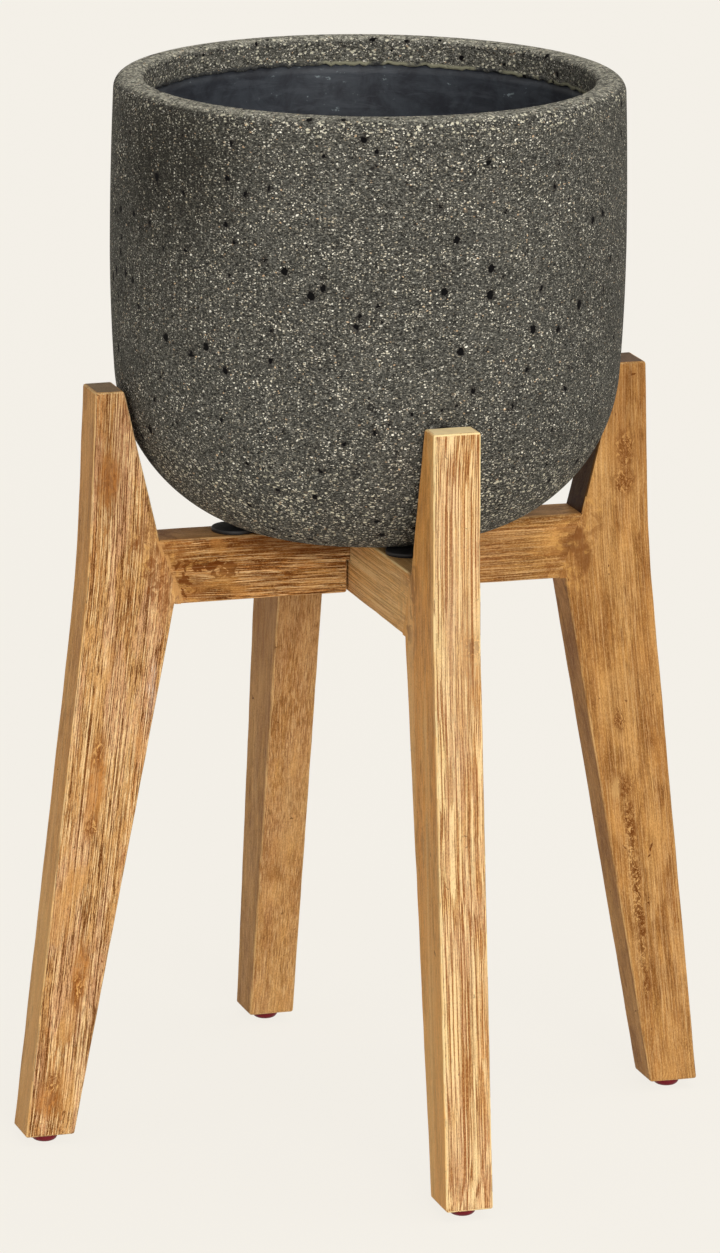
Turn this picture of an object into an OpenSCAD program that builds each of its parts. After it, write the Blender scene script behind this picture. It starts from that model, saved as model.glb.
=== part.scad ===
// Round composite planter standing in a four-legged wooden cross stand.
// Origin on the floor at the stand's centre, +Z up, +X to the right leg,
// -Y to the front leg. All sizes are in millimetres.

/* [Pot] */
// Largest outside diameter of the pot
pot_d = 303; // [240:1:340]
// Height of the pot from its flat base to the top of its rim
pot_h = 265; // [225:1:320]
// Height of the widest point above the pot's base
belly_h = 168.5; // [150:0.5:180]
// Radius of the side's gentle bulge below the widest point
belly_curve_r = 1120; // [700:10:2000]
// Radius of the side's gentle bulge above the widest point
shoulder_curve_r = 2300; // [1500:10:4000]
// Radius of the round turn from the side into the base
turn_r = 102; // [90:1:106]
// Angle below level at which that turn meets the pot's flat base
base_turn = 73.3; // [65:0.1:85]
// Stone wall behind the lining
wall_t = 13.5; // [9:0.5:15]
// How much thicker the stone floor is than the wall
floor_extra = 0.5; // [0.5:0.5:6]
// Thickness of the bare stone rim
rim_t = 18; // [18:0.5:24]
// Rounding of the rim's outer edge
rim_outer_round = 8; // [4:0.5:9]
// Rounding of the rim's inner edge
rim_inner_round = 6; // [3:0.5:8]
// Height of the bare stone band inside the rim
band_h = 17; // [12:0.5:40]

/* [Lining] */
// Thickness of the backing coat inside the stone
lining_t = 3; // [2:0.5:4]

/* [Drain] */
// Diameter of the drain hole in the pot's floor
drain_d = 14; // [10:0.5:20]
// Gap around the stopper in its hole
plug_gap = 0.3; // [0.3:0.05:0.6]
// Diameter of the stopper's flange inside the pot
plug_flange_d = 22; // [21:0.5:30]
// Thickness of that flange
plug_flange_t = 3; // [2:0.5:4]
// Width of the stopper's pull tab
plug_tab_w = 12; // [8:0.5:16]
// Thickness of the pull tab
plug_tab_t = 3; // [2:0.5:5]
// Height of the pull tab
plug_tab_h = 8; // [5:0.5:12]

/* [Boards] */
// Thickness of the rails and legs
board_t = 28.5; // [26:0.5:34]
// Height of the rails
rail_h = 39; // [36:0.5:50]
// Height of the rails' underside above the floor
rail_z = 327.5; // [200:0.5:400]
// Side gap of the notch cut up into the left-right rail
lower_notch_gap = 1.2; // [0.4:0.1:1.5]
// Side gap of the notch cut down into the front-back rail
upper_notch_gap = 0.4; // [0.3:0.05:1]
// Gap between the two notch floors
notch_floor_gap = 0.3; // [0.3:0.1:1]

/* [Legs] */
// Gap between the widest part of the pot and the legs' top ends
leg_gap = 0.8; // [0.5:0.1:10]
// Height of the legs' top ends above the rails
leg_rise = 90.5; // [60:0.5:120]
// Width of the legs' top ends
leg_top_w = 17.5; // [12:0.5:25]
// Width of the legs' feet
foot_w = 30; // [24:0.5:40]
// Slant of the inner edge above the rail, in degrees
inner_slant = 13.4; // [8:0.1:16]
// Slant of the joint between leg and rail, in degrees
joint_slant = 18.7; // [12:0.1:22]
// Width of the leg's underside beside the rail
joint_step = 3.8; // [1:0.1:6]
// Outward lean of the outer edge above its bend, in degrees
upper_lean = 2; // [0:0.1:4]
// Outward splay of the outer edge below its bend, in degrees
lower_splay = 6.45; // [5:0.05:10]
// Radius of the outer edge's bend
bend_r = 1000; // [300:10:1100]

/* [Dowels] */
// Diameter of the wooden dowels in the joints
dowel_d = 8; // [6:1:10]
// Length of the dowels
dowel_l = 30; // [24:1:36]
// Height between the two dowels of one joint
dowel_pitch = 18; // [14:0.5:20]

/* [Pads] */
// Diameter of the rubber pads under the pot
pad_d = 26; // [20:0.5:26]
// Thickness of the pads
pad_t = 2.5; // [1:0.5:5]
// Distance of the pads' centres outside the edge of the pot's flat base
pad_beyond = 5.2; // [0:0.1:8]
// Gap between the pads and the pot that rests on them
rest_gap = 0.3; // [0.3:0.05:0.5]

/* [Glides] */
// Diameter of the glides under the feet
glide_d = 16; // [12:0.5:20]
// Height of the glides
glide_h = 6; // [4:0.5:8]
// Height of the glide's straight side
glide_side_h = 1.5; // [1:0.25:2]
// Diameter of the glide's flat underside
glide_flat_d = 9; // [6:0.5:11]
// Diameter of the nail's shank
nail_d = 2; // [1.5:0.25:3]
// Length of the nail in the leg
nail_l = 18; // [12:1:22]
// Diameter of the nail's head inside the glide
nail_head_d = 5; // [4:0.5:6]
// Thickness of the nail's head
nail_head_t = 1; // [0.75:0.25:1]

/* [Hidden] */
around = 128;
bend_facets = 720;
small_around = 48;
// Straight steps of the pot's curves
turn_steps = 14;
side_steps = 3;
round_steps = 6;
past = 1;

rail_top = rail_z + rail_h;
rail_mid = rail_z + rail_h / 2;

pot_r = pot_d / 2;
base_z = rail_top + pad_t + rest_gap;
rim_z = base_z + pot_h;
belly_z = base_z + belly_h;
turn_z = base_z + turn_r * sin(base_turn);
// The turn's circle touches the side's circle from inside at this angle
turn_angle = asin((turn_z - belly_z) / (belly_curve_r - turn_r));
turn_x = pot_r - belly_curve_r + (belly_curve_r - turn_r) * cos(turn_angle);
pad_r = turn_x + turn_r * cos(base_turn) + pad_beyond;
lining_top = rim_z - band_h;
lining_inset = wall_t + lining_t;
stone_floor_z = base_z + wall_t + floor_extra;
lining_floor_z = stone_floor_z + lining_t;
shoulder_x = pot_r - shoulder_curve_r;
side_x = pot_r - belly_curve_r;
// The rim's rounding circles touch the wall's circles at these angles
outer_touch = asin((rim_z - rim_outer_round - belly_z) / (shoulder_curve_r - rim_outer_round));
inner_touch = asin((rim_z - rim_inner_round - belly_z) / (shoulder_curve_r - rim_t + rim_inner_round));
outer_round_x = shoulder_x + (shoulder_curve_r - rim_outer_round) * cos(outer_touch);
inner_round_x = shoulder_x + (shoulder_curve_r - rim_t + rim_inner_round) * cos(inner_touch);

leg_top = rail_top + leg_rise;
leg_in_top = pot_r + leg_gap;
leg_out_top = leg_in_top + leg_top_w;
joint_r_top = leg_in_top - leg_rise * tan(inner_slant);
joint_r_low = joint_r_top - rail_h * tan(joint_slant);
bend_x = leg_out_top + (leg_top - rail_mid) * tan(upper_lean);
foot_out = bend_x + (rail_mid - glide_h) * tan(lower_splay);
foot_in = foot_out - foot_w;
foot_mid = (foot_in + foot_out) / 2;
bend_touch = bend_r * tan((lower_splay - upper_lean) / 2);
// Points where the bend's circle meets the two straight outer edges
bend_high = [bend_x - bend_touch * sin(upper_lean), rail_mid + bend_touch * cos(upper_lean)];
bend_low = [bend_x + bend_touch * sin(lower_splay), rail_mid - bend_touch * cos(lower_splay)];
bend_centre = [bend_high[0] + bend_r * cos(upper_lean), bend_high[1] + bend_r * sin(upper_lean)];

joint_r_mid = (joint_r_top + joint_r_low) / 2;
dowel_end_gap = 1;
plug_bottom = base_z + plug_gap;
plug_seat = lining_floor_z + plug_gap;
// Centre height and radius of the sphere that domes the glide
dome_c = (pow(glide_d / 2, 2) + pow(glide_h - glide_side_h, 2) - pow(glide_flat_d / 2, 2))
    / (2 * (glide_h - glide_side_h));
dome_r = sqrt(pow(glide_flat_d / 2, 2) + pow(dome_c, 2));

// Turns from the right leg's direction
to_right = 0;
to_back = 90;
to_left = 180;
to_front = 270;

function arc(x, z, r, from, to, steps) =
    [for (i = [0 : steps]) [x + r * cos(from + (to - from) * i / steps),
                            z + r * sin(from + (to - from) * i / steps)]];

function reversed(points) = [for (i = [len(points) - 1 : -1 : 0]) points[i]];

// Drops the first point of a curve that starts where the last one ended
function joined(points) = [for (i = [1 : len(points) - 1]) points[i]];

// Side of the pot's form from its floor to the widest point, moved in
function lower_wall(inset, floor_z) = concat(
    arc(turn_x, turn_z, turn_r - inset, asin((floor_z - turn_z) / (turn_r - inset)), turn_angle, turn_steps),
    joined(arc(side_x, belly_z, belly_curve_r - inset, turn_angle, 0, side_steps))
);

function shoulder_angle(inset, height) = asin((height - belly_z) / (shoulder_curve_r - inset));

// Side of the pot's form from its floor to a height above the widest point
function wall(inset, floor_z, height) = concat(
    lower_wall(inset, floor_z),
    joined(arc(shoulder_x, belly_z, shoulder_curve_r - inset, 0, shoulder_angle(inset, height), side_steps))
);

module pot_shell() {
    color([0.30, 0.30, 0.28]) rotate_extrude($fn = around) polygon(concat(
        [[drain_d / 2, base_z]],
        lower_wall(0, base_z),
        joined(arc(shoulder_x, belly_z, shoulder_curve_r, 0, outer_touch, side_steps)),
        joined(arc(outer_round_x, rim_z - rim_outer_round, rim_outer_round, outer_touch, 90, round_steps)),
        arc(inner_round_x, rim_z - rim_inner_round, rim_inner_round, 90, 180 + inner_touch, round_steps),
        joined(arc(shoulder_x, belly_z, shoulder_curve_r - rim_t, inner_touch,
            shoulder_angle(rim_t, lining_top), 1)),
        reversed(wall(wall_t, stone_floor_z, lining_top)),
        [[drain_d / 2, stone_floor_z]]
    ));
}

module pot_lining() {
    color([0.20, 0.21, 0.23]) rotate_extrude($fn = around) polygon(concat(
        [[drain_d / 2, stone_floor_z]],
        wall(wall_t, stone_floor_z, lining_top),
        reversed(wall(lining_inset, lining_floor_z, lining_top)),
        [[drain_d / 2, lining_floor_z]]
    ));
}

module drain_plug() {
    color([0.08, 0.08, 0.08]) union() {
        translate([0, 0, plug_bottom])
            cylinder(d = drain_d - 2 * plug_gap, h = plug_seat - plug_bottom, $fn = small_around);
        translate([0, 0, plug_seat])
            cylinder(d = plug_flange_d, h = plug_flange_t, $fn = small_around);
        translate([-plug_tab_w / 2, -plug_tab_t / 2, plug_seat + plug_flange_t])
            cube([plug_tab_w, plug_tab_t, plug_tab_h]);
    }
}

module dowel_hole(height) {
    translate([joint_r_mid - dowel_l / 2 - dowel_end_gap, 0, height]) rotate([0, 90, 0])
        cylinder(d = dowel_d, h = dowel_l + 2 * dowel_end_gap, $fn = small_around);
}

module dowel_hole_pair() {
    dowel_hole(rail_mid - dowel_pitch / 2);
    dowel_hole(rail_mid + dowel_pitch / 2);
}

module dowel(height) {
    translate([joint_r_mid - dowel_l / 2, 0, height]) rotate([0, 90, 0])
        cylinder(d = dowel_d, h = dowel_l, $fn = small_around);
}

module dowel_pair() {
    dowel(rail_mid - dowel_pitch / 2);
    dowel(rail_mid + dowel_pitch / 2);
}

// Rail along X with slanted ends that meet the legs
module plain_rail() {
    rotate([90, 0, 0]) translate([0, 0, -board_t / 2]) linear_extrude(board_t)
        polygon([
            [-joint_r_low, rail_z], [joint_r_low, rail_z],
            [joint_r_top, rail_top], [-joint_r_top, rail_top]
        ]);
}

module notch(gap, low, high) {
    width = board_t + 2 * gap;
    translate([-width / 2, -board_t, low]) cube([width, 2 * board_t, high - low]);
}

module rail_left_right() {
    color([0.68, 0.46, 0.24]) difference() {
        plain_rail();
        notch(lower_notch_gap, rail_z - past, rail_mid + notch_floor_gap / 2);
        dowel_hole_pair();
        rotate([0, 0, to_left]) dowel_hole_pair();
    }
}

module rail_front_back() {
    color([0.66, 0.44, 0.22]) rotate([0, 0, to_back]) difference() {
        plain_rail();
        notch(upper_notch_gap, rail_mid - notch_floor_gap / 2, rail_top + past);
        dowel_hole_pair();
        rotate([0, 0, to_left]) dowel_hole_pair();
    }
}

// Boomerang-shaped board in the plane of its rail
module leg(turn) {
    color([0.70, 0.48, 0.26]) rotate([0, 0, turn]) difference() {
        rotate([90, 0, 0]) translate([0, 0, -board_t / 2]) linear_extrude(board_t) difference() {
            polygon([
                [leg_in_top, leg_top], [joint_r_top, rail_top],
                [joint_r_low, rail_z], [joint_r_low + joint_step, rail_z],
                [foot_in, glide_h], [foot_out, glide_h],
                bend_low, bend_high, [leg_out_top, leg_top]
            ]);
            translate(bend_centre) circle(r = bend_r, $fn = bend_facets);
        }
        dowel_hole_pair();
        translate([foot_mid, 0, 0]) cylinder(d = nail_d, h = glide_h + nail_l, $fn = small_around);
    }
}

module pad(turn) {
    color([0.06, 0.06, 0.07]) rotate([0, 0, turn]) translate([pad_r, 0, rail_top])
        cylinder(d = pad_d, h = pad_t, $fn = small_around);
}

// Solid glide before the nail's room is taken out
module glide_body() {
    intersection() {
        translate([0, 0, dome_c]) sphere(r = dome_r, $fn = small_around);
        cylinder(d = glide_d, h = glide_h - glide_side_h, $fn = small_around);
    }
    translate([0, 0, glide_h - glide_side_h]) cylinder(d = glide_d, h = glide_side_h, $fn = small_around);
}

module nail_body() {
    translate([0, 0, glide_h - nail_head_t]) cylinder(d = nail_head_d, h = nail_head_t, $fn = small_around);
    translate([0, 0, glide_h - nail_head_t])
        cylinder(d = nail_d, h = nail_l + nail_head_t, $fn = small_around);
}

module glide(turn) {
    color([0.35, 0.10, 0.12]) rotate([0, 0, turn]) translate([foot_mid, 0, 0]) difference() {
        glide_body();
        nail_body();
    }
}

module nail(turn) {
    rotate([0, 0, turn]) translate([foot_mid, 0, 0]) nail_body();
}

module leg_left() leg(to_left);
module leg_right() leg(to_right);
module leg_front() leg(to_front);
module leg_back() leg(to_back);

module dowels_left_right() {
    color([0.80, 0.65, 0.45]) union() {
        rotate([0, 0, to_left]) dowel_pair();
        rotate([0, 0, to_right]) dowel_pair();
    }
}

module dowels_front_back() {
    color([0.80, 0.65, 0.45]) union() {
        rotate([0, 0, to_front]) dowel_pair();
        rotate([0, 0, to_back]) dowel_pair();
    }
}

module pad_left() pad(to_left);
module pad_right() pad(to_right);
module pad_front() pad(to_front);
module pad_back() pad(to_back);

module glide_left() glide(to_left);
module glide_right() glide(to_right);
module glide_front() glide(to_front);
module glide_back() glide(to_back);

module nails_left_right() {
    color([0.65, 0.65, 0.67]) union() {
        nail(to_left);
        nail(to_right);
    }
}

module nails_front_back() {
    color([0.65, 0.65, 0.67]) union() {
        nail(to_front);
        nail(to_back);
    }
}

rail_left_right();
rail_front_back();
leg_left();
leg_right();
leg_front();
leg_back();
dowels_left_right();
dowels_front_back();
pad_left();
pad_right();
pad_front();
pad_back();
glide_left();
glide_right();
glide_front();
glide_back();
nails_left_right();
nails_front_back();
pot_shell();
pot_lining();
drain_plug();
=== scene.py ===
import math

import bmesh
import bpy
from mathutils import Matrix, Vector, noise


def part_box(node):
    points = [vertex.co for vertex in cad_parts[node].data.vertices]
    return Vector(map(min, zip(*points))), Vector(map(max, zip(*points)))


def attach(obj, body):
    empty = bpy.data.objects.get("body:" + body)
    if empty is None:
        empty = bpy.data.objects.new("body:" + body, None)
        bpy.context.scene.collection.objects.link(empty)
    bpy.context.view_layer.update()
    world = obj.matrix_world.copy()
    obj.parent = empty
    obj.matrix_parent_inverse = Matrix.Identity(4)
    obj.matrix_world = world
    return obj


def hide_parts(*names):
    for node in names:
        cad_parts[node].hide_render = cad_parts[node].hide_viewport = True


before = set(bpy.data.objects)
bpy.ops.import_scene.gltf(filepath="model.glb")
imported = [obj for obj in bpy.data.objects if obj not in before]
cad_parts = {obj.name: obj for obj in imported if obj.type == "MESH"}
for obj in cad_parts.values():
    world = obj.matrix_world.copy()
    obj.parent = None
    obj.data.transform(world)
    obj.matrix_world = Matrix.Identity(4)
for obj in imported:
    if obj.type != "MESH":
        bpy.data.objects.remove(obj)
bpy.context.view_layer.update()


# Camera. It stands well back in front of the stand, a little to its left,
# and looks down through a long lens, as the photograph was taken.
photo_width = 720
photo_height = 1253
lens_in_pixels = 7143.1
lens_centre_x = 364.33
lens_centre_y = 611.16
view_turn = math.radians(17.771)
view_tilt = math.radians(14.238)
view_roll = math.radians(0.603)
view_distance = 4.2458
aim_height = 0.31168

ahead = Vector((math.sin(view_turn) * math.cos(view_tilt),
                math.cos(view_turn) * math.cos(view_tilt),
                -math.sin(view_tilt)))
level = Vector((math.cos(view_turn), -math.sin(view_turn), 0))
upward = level.cross(ahead)
to_right = level * math.cos(view_roll) + upward * math.sin(view_roll)
to_top = upward * math.cos(view_roll) - level * math.sin(view_roll)
camera = bpy.data.objects.new("camera", bpy.data.cameras.new("camera"))
camera.data.sensor_fit = "HORIZONTAL"
camera.data.lens = lens_in_pixels / photo_width * camera.data.sensor_width
camera.data.shift_x = (photo_width / 2 - lens_centre_x) / photo_width
camera.data.shift_y = (lens_centre_y - photo_height / 2) / photo_width
camera.data.clip_end = 100
camera_axes = Matrix((to_right, to_top, -ahead)).transposed().to_4x4()
camera_place = Vector((0, 0, aim_height)) - ahead * view_distance
camera.matrix_world = Matrix.Translation(camera_place) @ camera_axes
bpy.context.scene.collection.objects.link(camera)
bpy.context.scene.camera = camera


# Studio. A pale floor that runs out of sight, soft even light from the front
# and a little to the camera's right, more from above, and pale light all
# round. The background is the floor's own colour.
class Amount:
    """A number that varies over a surface, for sums written in Python."""

    def __init__(self, finish, socket):
        self.finish = finish
        self.socket = socket

    def other(self, name):
        """Another output of the node that this one comes from."""
        return Amount(self.finish, self.socket.node.outputs[name])

    def __add__(self, value):
        return self.finish.maths("ADD", self, value)

    def __radd__(self, value):
        return self.finish.maths("ADD", value, self)

    def __sub__(self, value):
        return self.finish.maths("SUBTRACT", self, value)

    def __rsub__(self, value):
        return self.finish.maths("SUBTRACT", value, self)

    def __mul__(self, value):
        return self.finish.maths("MULTIPLY", self, value)

    def __rmul__(self, value):
        return self.finish.maths("MULTIPLY", value, self)

    def __truediv__(self, value):
        return self.finish.maths("DIVIDE", self, value)


class Finish:
    """A material whose nodes are made by short calls."""

    def __init__(self, name, tree=None):
        if tree is None:
            self.material = bpy.data.materials.new(name)
            self.material.use_nodes = True
            tree = self.material.node_tree
        self.tree = tree
        tree.nodes.clear()

    def node(self, kind, settings, inputs, output=0):
        """A node with its settings and the values or links of its sockets."""
        made = self.tree.nodes.new(kind)
        for key, value in settings.items():
            setattr(made, key, value)
        for key, value in inputs.items():
            if isinstance(value, Amount):
                self.tree.links.new(value.socket, made.inputs[key])
            else:
                made.inputs[key].default_value = value
        if not len(made.outputs):
            return made
        return Amount(self, made.outputs[output])

    def maths(self, operation, *values):
        """A sum on numbers."""
        return self.node("ShaderNodeMath", {"operation": operation}, dict(enumerate(values)))

    def mix(self, share, below, above):
        """Colour above laid over colour below by a share from 0 to 1."""
        return self.node("ShaderNodeMix", {"data_type": "RGBA"}, {0: share, 6: below, 7: above}, 2)

    def layered(self, colour, layers):
        """Colours laid over a colour one after another, each by its share."""
        for share, above in layers:
            colour = self.mix(share, colour, above)
        return colour

    def ease(self, value, start, end):
        """0 where value is at start, 1 where it is at end, smooth between."""
        settings = {"interpolation_type": "SMOOTHSTEP"}
        return self.node("ShaderNodeMapRange", settings, {0: value, 1: start, 2: end})

    def place(self):
        """Where a point of the piece is, in metres."""
        return self.node("ShaderNodeTexCoord", {}, {}, "Object")

    def stored(self, name, output="Fac"):
        """A number, or a vector, that the mesh stores."""
        return self.node("ShaderNodeAttribute", {"attribute_name": name}, {}, output)

    def places(self, operation, *values, output=0):
        """A sum on places or directions."""
        return self.node("ShaderNodeVectorMath", {"operation": operation}, dict(enumerate(values)), output)

    def stretched(self, place, x, y, z):
        return self.places("MULTIPLY", place, (x, y, z))

    def cloud(self, place, scale, detail=2.0, roughness=0.5, warp=0.0):
        """Soft lumps around 0.5, about scale of them to the metre."""
        inputs = {"Vector": place, "Scale": scale, "Detail": detail, "Roughness": roughness,
                  "Distortion": warp}
        return self.node("ShaderNodeTexNoise", {}, inputs)

    def cells(self, place, scale):
        """Distance to the nearest of scattered points, each of a random colour."""
        return self.node("ShaderNodeTexVoronoi", {}, {"Vector": place, "Scale": scale}, "Distance")

    def parts(self, colour):
        """The red of a colour, with its green and blue as other outputs."""
        return self.node("ShaderNodeSeparateColor", {}, {0: colour}, "Red")

    def bump(self, height, strength, depth):
        """The lie of a surface that a height makes uneven."""
        return self.node("ShaderNodeBump", {}, {"Strength": strength, "Distance": depth, "Height": height})

    def surface(self, **inputs):
        """The finished material; an underscore stands for a space in a socket's name."""
        named = {key.replace("_", " "): value for key, value in inputs.items()}
        shader = self.node("ShaderNodeBsdfPrincipled", {}, named)
        self.node("ShaderNodeOutputMaterial", {}, {"Surface": shader})
        return self.material


def srgb(red, green, blue):
    """A colour as it is read off a screen, as the shader wants it."""
    def straight(value):
        part = value / 255
        return part / 12.92 if part <= 0.04045 else ((part + 0.055) / 1.055) ** 2.4
    return (straight(red), straight(green), straight(blue), 1.0)


def seen_share(finish):
    """1 for what the camera sees, straight, in a mirror or through glass."""
    path = finish.node("ShaderNodeLightPath", {}, {}, "Is Camera Ray")
    mirrored = finish.maths("MAXIMUM", path, path.other("Is Glossy Ray"))
    return finish.maths("MAXIMUM", mirrored, path.other("Is Transmission Ray"))


round_strength = 0.23
world = bpy.data.worlds.new("studio")
world.use_nodes = True
bpy.context.scene.world = world
sky = Finish("studio", world.node_tree)
round_inputs = {"Color": srgb(250, 249, 247), "Strength": round_strength}
round_light = sky.node("ShaderNodeBackground", {}, round_inputs)
backdrop = sky.node("ShaderNodeBackground", {}, {"Color": srgb(244, 240, 231), "Strength": 1.0})
sky_mix = sky.node("ShaderNodeMixShader", {}, {0: seen_share(sky), 1: round_light, 2: backdrop})
sky.node("ShaderNodeOutputWorld", {}, {"Surface": sky_mix})

floor_reach = 30.0
floor_evenness = 0.92
floor_corners = [(-floor_reach, -floor_reach, 0), (floor_reach, -floor_reach, 0),
                 (floor_reach, floor_reach, 0), (-floor_reach, floor_reach, 0)]
floor_mesh = bpy.data.meshes.new("floor")
floor_mesh.from_pydata(floor_corners, [], [(0, 1, 2, 3)])
floor = bpy.data.objects.new("floor", floor_mesh)
bpy.context.scene.collection.objects.link(floor)
pale = Finish("pale_floor")
shaded = pale.node("ShaderNodeBsdfDiffuse", {}, {"Color": srgb(242, 238, 229)})
even = pale.node("ShaderNodeEmission", {}, {"Color": srgb(246, 242, 234), "Strength": 1.0})
floor_share = seen_share(pale) * floor_evenness
floor_mix = pale.node("ShaderNodeMixShader", {}, {0: floor_share, 1: shaded, 2: even})
pale.node("ShaderNodeOutputMaterial", {}, {"Surface": floor_mix})
floor_mesh.materials.append(pale.material)


def soft_sun(name, turn, height, spread, power, colour):
    """Even light from far off; turn and height say where it stands, in degrees."""
    lamp = bpy.data.objects.new(name, bpy.data.lights.new(name, "SUN"))
    lamp.data.angle = math.radians(spread)
    lamp.data.energy = power
    lamp.data.color = colour
    side = math.radians(turn)
    rise = math.radians(height)
    out = math.cos(rise)
    stand = Vector((math.sin(side) * out, -math.cos(side) * out, math.sin(rise)))
    lamp.rotation_euler = (-stand).to_track_quat("-Z", "Y").to_euler()
    bpy.context.scene.collection.objects.link(lamp)


white = (1.0, 1.0, 1.0)
warm_white = (1.0, 0.99, 0.97)
soft_sun("lamp_front", turn=-1, height=15, spread=30, power=2.3, colour=warm_white)
soft_sun("lamp_top", turn=45, height=72, spread=60, power=1.1, colour=white)
soft_sun("lamp_left", turn=-75, height=25, spread=40, power=0.3, colour=white)


# Pot shell. A heavy round pot pressed in a mould from dark cement mixed with
# pale grit, its surface rubbed back so that the grit and small air holes
# show. The rim is thick and rounded; inside, the stone ends in a ragged lip.
MM = 0.001
shell_low, shell_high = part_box("pot_shell")
pot_base = shell_low.z
pot_rim = shell_high.z
pot_r = (shell_high.x - shell_low.x) / 2
belly_z = pot_base + 168.5 * MM
turn_z = pot_base + 97.7 * MM
turn_r = 102 * MM
side_curve_r = 1120 * MM
shoulder_curve_r = 2300 * MM
drain_r = 7 * MM
wall_inset = 13.5 * MM
lining_inset = 16.5 * MM
rim_t = 18 * MM
rim_outer_round = 8 * MM
rim_inner_round = 4 * MM
stone_floor = pot_base + 14 * MM
lining_floor = pot_base + 17 * MM
lining_top = pot_rim - 17 * MM
side_x = pot_r - side_curve_r
shoulder_x = pot_r - shoulder_curve_r
turn_start = math.asin((turn_z - belly_z) / (side_curve_r - turn_r))
turn_x = side_x + (side_curve_r - turn_r) * math.cos(turn_start)
turn_steps = 36
wall_steps = 14
outer_rim_steps = 12
inner_rim_steps = 10
band_steps = 10
under_steps = 12
floor_steps = 4
ledge_steps = 3


def arc(x, z, r, start, end, steps):
    """Points of a round stretch of a half section, as (radius, height)."""
    points = []
    for step in range(steps + 1):
        angle = start + (end - start) * step / steps
        points.append((x + r * math.cos(angle), z + r * math.sin(angle)))
    return points


def line(start, end, steps):
    """Points between two points, without the ends."""
    across = end[0] - start[0]
    up = end[1] - start[1]
    return [(start[0] + across * step / steps, start[1] + up * step / steps) for step in range(1, steps)]


def lower_wall(inset, floor_z):
    """The form's side from a floor level up to its widest point."""
    bottom = math.asin((floor_z - turn_z) / (turn_r - inset))
    turn = arc(turn_x, turn_z, turn_r - inset, bottom, turn_start, turn_steps)
    return turn + arc(side_x, belly_z, side_curve_r - inset, turn_start, 0, wall_steps)[1:]


def shoulder(inset, height):
    """The form's side from its widest point up to a height."""
    end = math.asin((height - belly_z) / (shoulder_curve_r - inset))
    return arc(shoulder_x, belly_z, shoulder_curve_r - inset, 0, end, wall_steps)[1:]


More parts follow.
